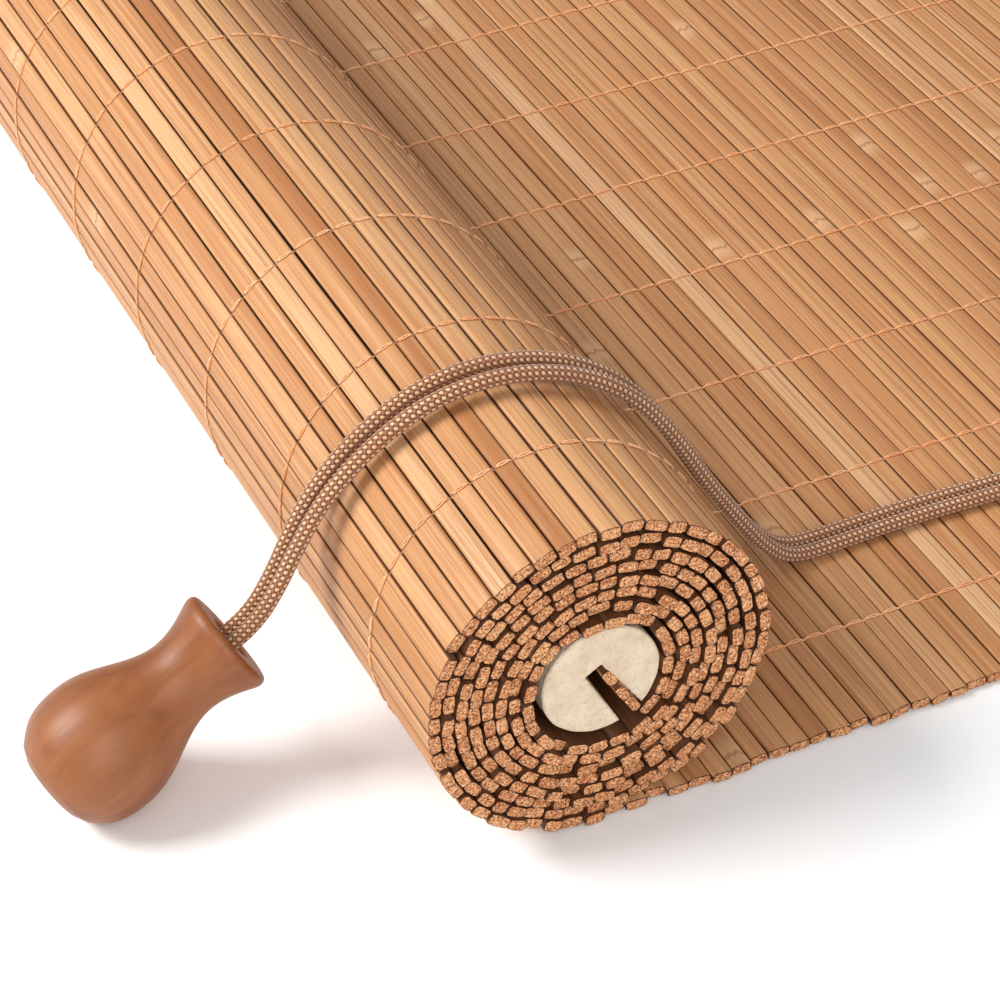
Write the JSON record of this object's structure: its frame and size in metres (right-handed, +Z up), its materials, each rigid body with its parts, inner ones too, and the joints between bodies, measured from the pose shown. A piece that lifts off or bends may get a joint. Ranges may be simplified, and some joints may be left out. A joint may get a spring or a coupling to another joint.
{
  "type": "roller blind",
  "caption": "Bamboo slat roll-up blind, partly rolled on a slotted core, with warp threads, a wooden headrail, cord lock, pulleys, braided lift cords and a turned pull",
  "frame": {"origin": "under the middle of the blind's own box, free cords not counted, on the surface it lies on", "axes": "X along the roll, its visible end at +X; +Y from the roll to the headrail; +Z up"},
  "size_m": [0.59, 0.3616, 0.0696],
  "materials": {
    "bamboo": "satin split bamboo",
    "warp_thread": "twisted cotton",
    "fibreboard": "matt",
    "batten_wood": "satin varnish",
    "stained_wood": "satin stain",
    "braided_cord": "braided polyester",
    "paper_tie": "matt",
    "zinc_steel": "zinc plated",
    "nylon": "moulded",
    "brass": "turned"
  },
  "bodies": {
    "root": {"mat_slats": "bamboo", "roll_wrap_1": "bamboo", "roll_wrap_2": "bamboo", "roll_wrap_3": "bamboo", "roll_wrap_4": "bamboo", "roll_wrap_5": "bamboo", "roll_wrap_6": "bamboo", "roll_wrap_7": "bamboo", "roll_wrap_8": "bamboo", "core_grip_slats": "bamboo", "core_rod": "fibreboard", "roll_threads": "warp_thread", "threads_over": "warp_thread", "threads_under": "warp_thread", "pull_knot": "braided_cord", "cord_tail_a": "braided_cord", "cord_tail_b": "braided_cord", "cord_coil": "braided_cord", "coil_tie": "paper_tie", "cord_lead_a": "braided_cord", "cord_lead_b": "braided_cord", "cord_fold_a": "braided_cord", "cord_fold_b": "braided_cord"},
    "headrail": {"mat_slats_head": "bamboo", "threads_over_head": "warp_thread", "threads_under_head": "warp_thread", "headrail_batten": "batten_wood", "mat_staples": "zinc_steel", "hanging_plate_left": "zinc_steel", "hanging_plate_right": "zinc_steel", "plate_screws": "zinc_steel", "bracket_screws": "zinc_steel", "pulley_bracket_left": "zinc_steel", "pulley_bracket_right": "zinc_steel", "pulley_axle_left": "zinc_steel", "pulley_axle_right": "zinc_steel", "lock_housing": "zinc_steel", "lock_axle": "zinc_steel", "cord_lift_left": "braided_cord", "cord_lift_right": "braided_cord", "lift_knot_left": "braided_cord", "lift_knot_right": "braided_cord"},
    "pulley_wheel_left": {"pulley_wheel_left": "nylon"},
    "pulley_wheel_right": {"pulley_wheel_right": "nylon"},
    "lock_wheel": {"lock_wheel": "nylon"},
    "lock_roller": {"lock_roller": "brass"},
    "cord_pull": {"cord_pull": "stained_wood"}
  },
  "joints": [
    {"name": "mat_fold", "type": "hinge", "parent": "root", "child": "headrail", "pos_m": [0, 0.08545, 0.00215], "axis": [1, 0, 0], "range_deg": [0, 90], "deforming": ["cord_fold_a", "cord_fold_b"]},
    {"name": "left_pulley_spin", "type": "hinge", "parent": "headrail", "child": "pulley_wheel_left", "pos_m": [-0.195, 0.1014, 0.0124], "axis": [0, 0, 1], "continuous": true},
    {"name": "right_pulley_spin", "type": "hinge", "parent": "headrail", "child": "pulley_wheel_right", "pos_m": [0.195, 0.1014, 0.0124], "axis": [0, 0, 1], "continuous": true},
    {"name": "lock_wheel_spin", "type": "hinge", "parent": "headrail", "child": "lock_wheel", "pos_m": [0.2466, 0.1014, 0.0086], "axis": [0, 0, 1], "continuous": true},
    {"name": "lock_roller_slide", "type": "slide", "parent": "headrail", "child": "lock_roller", "axis": [0.24, 0.9708, 0], "range_m": [0, 0.001]},
    {"name": "pull_slide", "type": "slide", "parent": "root", "child": "cord_pull", "axis": [-0.0336, 0.874, 0.4848], "range_m": [0, 0.005]}
  ]
}
